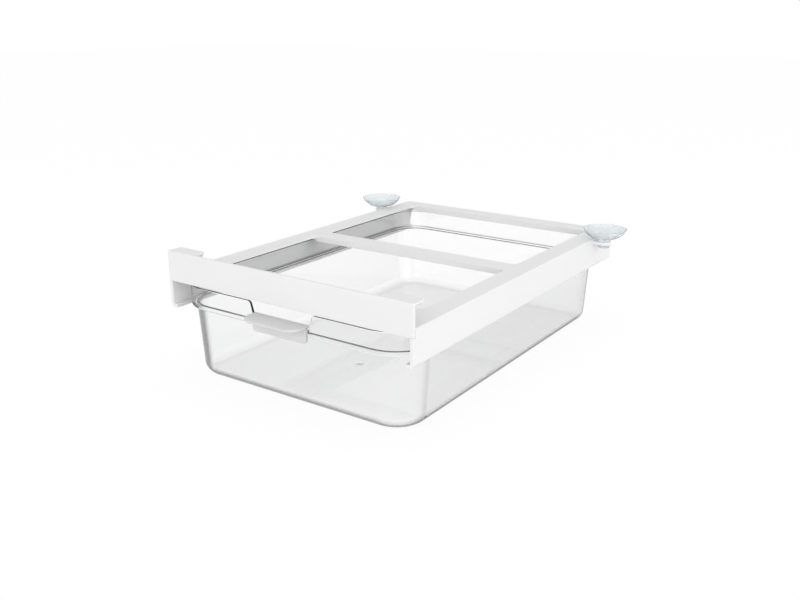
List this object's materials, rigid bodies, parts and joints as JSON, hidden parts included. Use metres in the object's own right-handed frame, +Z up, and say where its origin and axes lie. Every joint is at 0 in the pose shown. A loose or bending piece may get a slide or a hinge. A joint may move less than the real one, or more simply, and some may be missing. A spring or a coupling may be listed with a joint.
{
  "type": "hanging drawer organizer",
  "caption": "Clear tapered drawer with a finger handle, sliding in a white channel frame that hooks over a shelf's front edge and holds on with suction cups at the rear.",
  "frame": {"origin": "centre of the object's footprint, on the surface under the drawer", "axes": "+Z up, the front panel faces -Y, +X to the viewer's right seen from the front"},
  "size_m": [0.3098, 0.3788, 0.1102],
  "materials": {
    "white_plastic": "satin moulded white",
    "soft_pad": "matt pale grey",
    "clear_plastic": "polished clear",
    "frosted_plastic": "frosted translucent",
    "clear_soft_plastic": "clear soft, faintly blue"
  },
  "bodies": {
    "channel_frame": {"front_panel": "white_plastic", "left_rail": "white_plastic", "right_rail": "white_plastic", "front_bar": "white_plastic", "middle_bar": "white_plastic", "rear_bar": "white_plastic", "left_hook_pad": "soft_pad", "right_hook_pad": "soft_pad"},
    "drawer_bin": {"drawer": "clear_plastic", "drawer_handle": "frosted_plastic"},
    "left_cup": {"left_suction_cup": "clear_soft_plastic"},
    "right_cup": {"right_suction_cup": "clear_soft_plastic"}
  },
  "joints": [
    {"name": "drawer_slide", "type": "slide", "parent": "channel_frame", "child": "drawer_bin", "axis": [0, -1, 0], "range_m": [0, 0.28]},
    {"name": "left_cup_turn", "type": "hinge", "parent": "channel_frame", "child": "left_cup", "pos_m": [-0.1338, 0.14835, 0.0885], "axis": [0, 0, 1], "continuous": true},
    {"name": "right_cup_turn", "type": "hinge", "parent": "channel_frame", "child": "right_cup", "pos_m": [0.1338, 0.14835, 0.0885], "axis": [0, 0, 1], "continuous": true}
  ]
}
